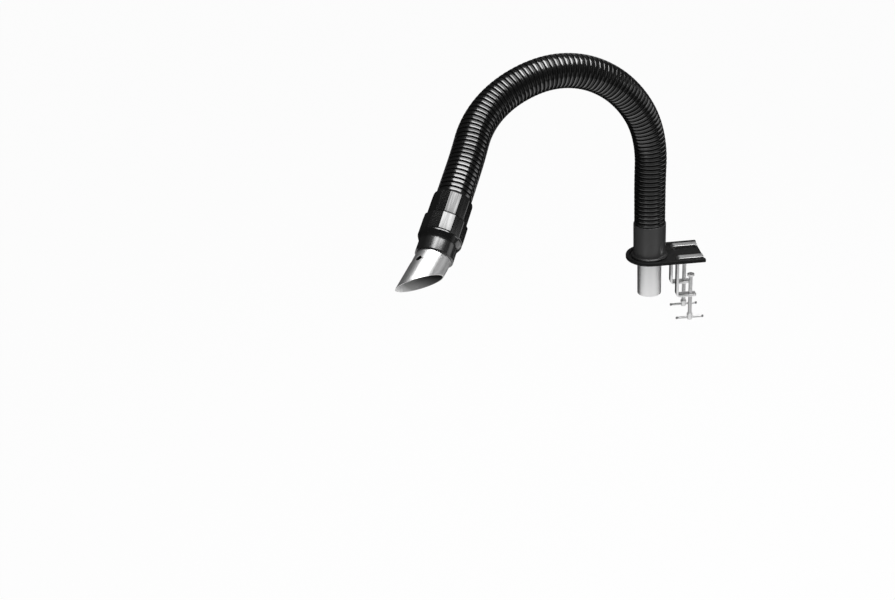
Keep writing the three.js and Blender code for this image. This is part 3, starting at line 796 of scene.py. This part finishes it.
def clamp_frame(side, body):
    node = f"clamp_frame_{side}"
    low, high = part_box(node)
    middle = (low.y + high.y) / 2
    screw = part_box(f"clamp_screw_{side}")
    screw_x = (screw[0].x + screw[1].x) / 2 - duct.x
    upright = Matrix.Rotation(math.pi / 2, 4, "X")
    place = Matrix.Translation((duct.x, middle, 0)) @ upright
    bar = prism(bar_outline(), -BAR_WIDTH / 2, BAR_WIDTH / 2)
    piece = new_piece(f"clamp_bar_{side}", *bar, "clamp_chrome", place)
    hole_foot, hole_top = -JAW_OPENING - 2 * BAR_THICK, -JAW_OPENING + BAR_THICK
    hole_points, hole_faces = disc(SCREW_HOLE, hole_foot, hole_top, SMALL_SIDES, screw_x)
    upright_hole = [upright.inverted() @ Vector(point) for point in hole_points]
    cut(piece, (upright_hole, hole_faces))
    ease_edges(piece, BAR_EASE)
    stands_for(piece, node, body)


def screw_place(side):
    """Frame on a screw's axis, at the underside of its pad."""
    low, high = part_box(f"clamp_pad_{side}")
    return Matrix.Translation(((low.x + high.x) / 2, (low.y + high.y) / 2, low.z))


def mark_zinc(piece, amount=1):
    store(piece, "zinc", np.full(len(piece.data.vertices), amount))


def clamp_pad(side):
    socket = TIP_RADIUS + FIT
    profile = eased([
        (0, TIP_LENGTH + FIT, 0),
        (socket, TIP_LENGTH + FIT, 0),
        (socket, 0, 0.3 * MM),
        (PAD_RADIUS, 0, 0.8 * MM),
        (PAD_RADIUS, PAD_HEIGHT, 0.6 * MM),
        (0, PAD_HEIGHT, 0),
    ], closed=False)
    profile[0][0] = profile[-1][0] = PAD_POINT
    rings = spun(profile, full_turn(SMALL_SIDES))
    piece = new_piece(f"clamp_disc_{side}", *loft(rings, closed=False), "clamp_chrome", screw_place(side))
    mark_zinc(piece, PAD_ZINC)
    stands_for(piece, f"clamp_pad_{side}", f"pad_{side}")


def thread_rings(low, high):
    """Rings of a threaded shank: the depth follows the height and the turn."""
    angles = full_turn(SMALL_SIDES)
    rings = []
    steps = round((high - low) / THREAD_PITCH * THREAD_STEPS)
    for height in np.linspace(low, high, steps + 1):
        fade = min(1, (height - low) / THREAD_PITCH, (high - height) / THREAD_PITCH)
        phase = (height / THREAD_PITCH - angles / (2 * math.pi)) % 1
        valley = np.clip(THREAD_FLANK * np.abs(phase - 0.5) - THREAD_CREST, 0, 1)
        radius = SCREW_RADIUS - THREAD_DEPTH * valley * fade
        rings.append(ring_about_z(radius, angles, height))
    return rings


def clamp_screw(side):
    place = screw_place(side)
    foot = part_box(f"clamp_screw_{side}")[0].z - place.translation.z
    head_foot = foot + BOSS_HEIGHT
    head_top = head_foot + HEAD_HEIGHT
    below = eased([
        (BOSS_RADIUS * BOSS_FLAT, foot, 0),
        (BOSS_RADIUS, foot, 0.8 * MM),
        (BOSS_RADIUS, head_foot, 0.2 * MM),
        (HEAD_RADIUS, head_foot, 0.6 * MM),
        (HEAD_RADIUS, head_top, 0.8 * MM),
        (SCREW_RADIUS, head_top, 0),
    ], closed=False)
    above = eased([
        (SCREW_RADIUS, -FIT, 0),
        (TIP_RADIUS, -FIT, 0),
        (TIP_RADIUS, TIP_LENGTH, 0.4 * MM),
        (TIP_RADIUS * TIP_FLAT, TIP_LENGTH, 0),
    ], closed=False)
    angles = full_turn(SMALL_SIDES)
    rings = spun(below, angles) + thread_rings(head_top, -FIT)[1:-1] + spun(above, angles)
    piece = new_piece(f"clamp_spindle_{side}", *loft(rings, closed=False), "clamp_chrome", place)
    hole_points, hole_faces = disc(TOMMY_RADIUS + FIT, -2 * HEAD_RADIUS, 2 * HEAD_RADIUS, SMALL_SIDES)
    across = Matrix.Translation((0, 0, foot + BOSS_HEIGHT / 2)) @ Matrix.Rotation(math.pi / 2, 4, "Y")
    cut(piece, ([across @ Vector(point) for point in hole_points], hole_faces))
    mark_zinc(piece)
    stands_for(piece, f"clamp_screw_{side}", f"screw_{side}")


def tommy_bar(side):
    """Round bar whose ends are pinched flat; its stations are (x, half width, half thickness)."""
    low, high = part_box(f"tommy_bar_{side}")
    half = TOMMY_LENGTH / 2
    shoulder = half - TOMMY_END_LENGTH
    one_end = [
        (shoulder - 4 * MM, TOMMY_RADIUS, TOMMY_RADIUS),
        (shoulder, TOMMY_RADIUS, TOMMY_RADIUS * 0.92),
        (shoulder + 1.2 * MM, TOMMY_END_WIDE * 0.9, TOMMY_END_THIN * 1.15),
        (half - 2 * MM, TOMMY_END_WIDE, TOMMY_END_THIN),
        (half - 0.6 * MM, TOMMY_END_WIDE * 0.92, TOMMY_END_THIN * 0.85),
        (half, TOMMY_END_WIDE * 0.7, TOMMY_END_THIN * 0.45),
    ]
    stations = [(-x, wide, thin) for x, wide, thin in reversed(one_end)] + one_end
    angles = full_turn(SMALL_SIDES)
    rings = [np.column_stack((np.full(SMALL_SIDES, x), thin * np.cos(angles), wide * np.sin(angles)))
             for x, wide, thin in stations]
    place = Matrix.Translation((low + high) / 2)
    piece = new_piece(f"tommy_rod_{side}", *loft(rings, closed=False), "clamp_chrome", place)
    mark_zinc(piece)
    # Painted shade, full on the pinched ends and a lighter share along the rest of the bar
    painted_end_shade = [1 if abs(x) > shoulder else TOMMY_END_SHADE_SHARE for x, _, _ in stations]
    store(piece, "painted_end_shade", np.repeat(painted_end_shade, SMALL_SIDES))
    stands_for(piece, f"tommy_bar_{side}", f"tommy_{side}")


# Cuff
def facet_turn():
    """Angles round a faceted piece, and how far each reaches for a flat at 1 from the axis."""
    sector = 360 / CUFF_SIDES
    offsets = np.radians([[k * sector + a for a in FACET_ANGLES] for k in range(CUFF_SIDES)]).ravel()
    within = np.radians(np.tile(FACET_ANGLES, CUFF_SIDES))
    corner = math.radians(max(FACET_ANGLES))
    reach = 1 / np.cos(np.clip(np.abs(within), 0, corner))
    return offsets + CUFF_TURN, reach


def faceted(outside, inside):
    """Closed skin of a faceted outside, as (flat, height, share of facet), and a round inside."""
    angles, reach = facet_turn()
    rings = []
    for flat, height, share in outside:
        rings += spun([(flat, height)], angles, 1 + share * (reach - 1))
    return loft(rings + spun(inside, angles), closed=True)


def with_facets(points, share=1):
    return [(x, y, share) for x, y in points]


def hose_cuff():
    bottom_ease = 0.7 * MM
    outer = eased([
        (CUFF_BORE, 0, 0.4 * MM),
        (CUFF_FLAT - CUFF_CHAMFER_STEP, 0, 0.8 * MM),
        (CUFF_FLAT, CUFF_CHAMFER, 1.5 * MM),
        (CUFF_FLAT, CUFF_LENGTH, bottom_ease),
        (TAIL_RADIUS, CUFF_LENGTH, 0),
    ], closed=False)
    inner = [
        (TAIL_RADIUS, TAIL_END),
        (TAIL_RADIUS - TAIL_WALL, TAIL_END),
        (TAIL_RADIUS - TAIL_WALL, CUFF_BORE_DEPTH),
        (CUFF_BORE, CUFF_BORE_DEPTH),
    ]
    outside = with_facets(outer[:1], 0) + with_facets(outer[1:-1]) + with_facets(outer[-1:], 0)
    piece = new_piece("cuff_grip", *faceted(outside, inner), "cuff_polymer", cuff_place)
    stands_for(piece, "hose_cuff", "cuff")


def swivel_sleeve():
    facets = eased([
        (SLEEVE_BORE, SLEEVE_START, 0.3 * MM),
        (SLEEVE_FLAT - SLEEVE_CHAMFER, SLEEVE_START, 0.8 * MM),
        (SLEEVE_FLAT, SLEEVE_START + SLEEVE_CHAMFER, 1.2 * MM),
        (SLEEVE_FLAT, FACETS_END - LINE_START, 0.5 * MM),
        (SLEEVE_FLAT - LINE_DEPTH, FACETS_END - 2 * MM, 0),
    ], closed=False)
    shoulder = eased([
        (SLEEVE_FLAT - 0.8 * MM, FACETS_END - 1.9 * MM, 0.3 * MM),
        (SLEEVE_FLAT + RIM_PROUD, FACETS_END - RIM_START, 0.4 * MM),
        (SLEEVE_FLAT + RIM_PROUD, FACETS_END + RIM_DROP, 0.6 * MM),
        (SOCKET_RADIUS, SOCKET_START, 3 * MM),
        (SOCKET_RADIUS, SOCKET_END, 0.8 * MM),
        (SOCKET_BORE, SOCKET_END, 0.5 * MM),
        (SOCKET_BORE, SOCKET_START, 0),
        (STOP_BORE, SOCKET_START, 0.3 * MM),
        (STOP_BORE, TAIL_END + 3 * MM, 0.3 * MM),
        (SLEEVE_BORE, TAIL_END + FIT, 0),
    ], closed=False)
    outside = with_facets(facets[:1], 0) + with_facets(facets[1:])
    piece = new_piece("cuff_sleeve", *faceted(outside, shoulder), "cuff_polymer", cuff_place)
    stands_for(piece, "swivel_sleeve", "sleeve")


# Nozzle: thin tube that leans over outside its socket, cut on the bevel, with two keyholes
def leaned(points):
    """Points of the nozzle, slanted towards +X by as much as they lie outside the socket."""
    points = np.asarray(points, float).copy()
    points[:, 0] += np.maximum(0, points[:, 2] - SOCKET_END) * math.tan(NOZZLE_LEAN)
    return points


def keyhole(turn):
    """Cutters for one hole through the nozzle's wall: a round eye and a tail that narrows to one side."""
    drop = SOCKET_END + KEYHOLE_DROP
    near, far = NOZZLE_RADIUS - 4 * NOZZLE_WALL, NOZZLE_RADIUS + 2 * NOZZLE_WALL
    radius = math.hypot(KEYHOLE_WIDTH, KEYHOLE_HEIGHT) / 2
    eye = [(radius * math.cos(a), radius * math.sin(a)) for a in full_turn(KEYHOLE_SIDES)]
    thick = KEYHOLE_TAIL_HEIGHT / 2
    tail = [(-KEYHOLE_TAIL, -thick / 2), (0, -1.5 * thick), (0, 1.5 * thick), (-KEYHOLE_TAIL, thick / 2)]
    turned = np.array(Matrix.Rotation(turn, 3, "Z"))
    cutters = []
    for outline in (eye, tail):
        points, faces = prism(outline, near, far)
        across, up, out = points.T
        cutters.append((leaned(np.column_stack((out, across, up + drop)) @ turned.T), faces))
    return cutters


def mark_inside(piece):
    """Marks the points of the nozzle's bore, for its finish."""
    x, y, z = points_of(piece).reshape(-1, 3).T
    x = x - np.maximum(0, z - SOCKET_END) * math.tan(NOZZLE_LEAN)
    store(piece, "inside", np.hypot(x, y) < NOZZLE_RADIUS - BORE_SIDE * NOZZLE_WALL)


def nozzle():
    start = SOCKET_START + FIT
    middle = SOCKET_END + (NOZZLE_LONG + NOZZLE_SHORT) / 2
    slope = (NOZZLE_LONG - NOZZLE_SHORT) / (2 * NOZZLE_RADIUS)
    angles = full_turn(NOZZLE_SIDES)
    inner = NOZZLE_RADIUS - NOZZLE_WALL

    def ring(radius, share):
        """Ring that is level at the socket's edge, for share 0, and on the bevel of the mouth, for 1."""
        mouth = middle + slope * radius * np.cos(angles)
        height = SOCKET_END + share * (mouth - SOCKET_END)
        return leaned(ring_about_z(radius, angles, height))

    shares = np.linspace(0, 1 - NOZZLE_EDGE / NOZZLE_LONG, NOZZLE_STEPS)
    outside = [ring(NOZZLE_RADIUS, share) for share in shares]
    rim = [ring(NOZZLE_RADIUS - NOZZLE_EDGE, 1), ring(inner + NOZZLE_EDGE, 1)]
    inside = [ring(inner, share) for share in shares[::-1]]
    foot = spun([(inner, start), (NOZZLE_RADIUS, start)], angles)
    place = cuff_place @ Matrix.Rotation(NOZZLE_TURN, 4, "Z")
    skin = loft(outside + rim + inside + foot, closed=True)
    piece = new_piece("nozzle_pipe", *skin, "nozzle_aluminium", place)
    cut(piece, *[cutter for turn in KEYHOLE_TURNS for cutter in keyhole(turn)])
    mark_inside(piece)
    stands_for(piece, "nozzle", "nozzle")


hose_collar()
spigot_tube()
flat_ring("spigot_clip", "retaining_ring", "swivel_collar", "ring_steel")
flat_ring("collar_washer", "thrust_washer", "bracket", "washer_polymer")
bracket_plate()
for side in CLAMPS:
    clamp_frame(side, "bracket")
    clamp_pad(side)
    clamp_screw(side)
    tommy_bar(side)
hose_cuff()
swivel_sleeve()
nozzle()


# Pieces out of sight keep their solids, with their own finish
def dress_inner_pieces():
    slots = {"liner": "liner_polymer", "swivel_snap": "ring_steel", "swivel_seal": "seal_rubber"}
    for node, piece in frame["nodes"].items():
        for start, slot in slots.items():
            if node.startswith(start):
                piece.data.materials.clear()
                piece.data.materials.append(finishes[slot])


dress_inner_pieces()


# Stage: pale floor at a bench's height below, white surroundings, two soft lamps, cards for reflections
def seen_directly(nodes):
    """1 for rays from the camera, a mirror or through glass, which see the plain background."""
    path = [nodes.add("ShaderNodeLightPath", output=name)
            for name in ("Is Camera Ray", "Is Glossy Ray", "Is Transmission Ray")]
    return (path[0] + path[1] + path[2]).clamped()


def pale_floor():
    material, nodes = new_finish("pale_floor")
    lit = nodes.add("ShaderNodeBsdfDiffuse", {}, {"Color": grey(FLOOR_GREY)})
    white = nodes.add("ShaderNodeEmission", {}, {"Color": (1, 1, 1, 1), "Strength": 1.0})
    shader = nodes.add("ShaderNodeMixShader", {}, {0: FLOOR_WHITE * seen_directly(nodes), 1: lit, 2: white})
    nodes.add("ShaderNodeOutputMaterial", {}, {"Surface": shader})
    mesh = bpy.data.meshes.new("floor")
    far = FLOOR_REACH
    corners = [(-far, -far, 0), (far, -far, 0), (far, far, 0), (-far, far, 0)]
    mesh.from_pydata(corners, [], [(0, 1, 2, 3)])
    mesh.materials.append(material)
    floor = bpy.data.objects.new("floor", mesh)
    floor.location = (0, 0, -BENCH_HEIGHT)
    bpy.context.scene.collection.objects.link(floor)


def white_room():
    world = bpy.data.worlds.new("white_room")
    bpy.context.scene.world = world
    nodes = Nodes(world)
    dim = nodes.add("ShaderNodeBackground", {}, {"Color": grey(STUDIO_LEVEL), "Strength": 1.0})
    white = nodes.add("ShaderNodeBackground", {}, {"Color": (1, 1, 1, 1), "Strength": 1.0})
    shader = nodes.add("ShaderNodeMixShader", {}, {0: seen_directly(nodes), 1: dim, 2: white})
    nodes.add("ShaderNodeOutputWorld", {}, {"Surface": shader})


def studio_card(name, corners, level):
    """Plain card that only reflections show, for the tone of the studio round the white floor."""
    material, nodes = new_finish(name)
    glow = nodes.add("ShaderNodeEmission", {}, {"Color": grey(level), "Strength": 1.0})
    nodes.add("ShaderNodeOutputMaterial", {}, {"Surface": glow})
    mesh = bpy.data.meshes.new(name)
    mesh.from_pydata(corners, [], [(0, 1, 2, 3)])
    mesh.materials.append(material)
    card = bpy.data.objects.new(name, mesh)
    for ray in ("camera", "diffuse", "transmission", "shadow", "volume_scatter"):
        setattr(card, f"visible_{ray}", False)
    bpy.context.scene.collection.objects.link(card)


def upright_card(name, low, high, level):
    """Studio card that stands between its lowest and its highest corner."""
    (x0, y0, foot), (x1, y1, top) = low, high
    studio_card(name, [(x0, y0, foot), (x1, y1, foot), (x1, y1, top), (x0, y0, top)], level)


def dark_walls(far, foot, top):
    """Dark flags round and over the set."""
    corners = [(-far, -far), (far, -far), (far, far), (-far, far)]
    for i, (x0, y0) in enumerate(corners):
        x1, y1 = corners[i - 1]
        upright_card(f"wall_{i}", (x0, y0, foot), (x1, y1, top), STUDIO_LEVEL)
    studio_card("roof", [(x, y, top) for x, y in corners], STUDIO_LEVEL)


def dark_surround():
    """Dark studio floor past the edges of the white one, and cards behind and beside for the metal."""
    left, right = WHITE_X
    front, back = WHITE_Y
    far = STUDIO_REACH
    z = CARD_LIFT - BENCH_HEIGHT
    dark_walls(far, z, far)
    floors = {
        "front_floor": ((-far, -far), (far, front), FRONT_FLOOR_LEVEL),
        "left_floor": ((-far, front), (left, far), DARK_FLOOR_LEVEL),
        "right_floor": ((right, front), (far, far), DARK_FLOOR_LEVEL),
        "back_floor": ((left, back), (right, far), DARK_FLOOR_LEVEL),
    }
    for name, ((x0, y0), (x1, y1), level) in floors.items():
        studio_card(name, [(x0, y0, z), (x1, y0, z), (x1, y1, z), (x0, y1, z)], level)
    upright_card("back_card", *BACK_CARD, BACK_CARD_LEVEL)
    upright_card("right_card", *RIGHT_CARD, RIGHT_CARD_LEVEL)


def soft_lamp(name, place, target, width, height, power, mirrored=True):
    data = bpy.data.lights.new(name, "AREA")
    data.shape = "RECTANGLE"
    data.size = width
    data.size_y = height
    data.energy = power
    lamp = bpy.data.objects.new(name, data)
    lamp.visible_camera = False
    lamp.visible_glossy = mirrored
    lamp.location = place
    lamp.rotation_mode = "QUATERNION"
    lamp.rotation_quaternion = (Vector(target) - Vector(place)).to_track_quat("-Z", "Y")
    bpy.context.scene.collection.objects.link(lamp)


def camera():
    data = bpy.data.cameras.new("camera")
    data.lens = CAMERA_LENS
    data.sensor_width = CAMERA_SENSOR
    eye = bpy.data.objects.new("camera", data)
    swing = Matrix.Rotation(CAMERA_AZIMUTH, 4, "Z") @ Matrix.Rotation(math.pi / 2 - CAMERA_ELEVATION, 4, "X")
    back = swing @ Vector((0, 0, CAMERA_DISTANCE))
    aside = Matrix.Rotation(-CAMERA_YAW, 4, "Y") @ Matrix.Rotation(-CAMERA_PITCH, 4, "X")
    eye.matrix_world = (Matrix.Translation(duct + back) @ swing @ aside
                        @ Matrix.Rotation(-CAMERA_ROLL, 4, "Z"))
    bpy.context.scene.collection.objects.link(eye)
    bpy.context.scene.camera = eye


pale_floor()
white_room()
dark_surround()
soft_lamp("overhead", place=(0.12, -0.25, 1.75), target=(0.12, -0.25, 0), width=1.75, height=1.2, power=47)
soft_lamp("front", place=(-0.6, -2.3, 1.0), target=(-0.2, -0.1, 0.1), width=1.6, height=1.6, power=30,
          mirrored=False)
camera()
bpy.context.scene.view_settings.view_transform = "Standard"
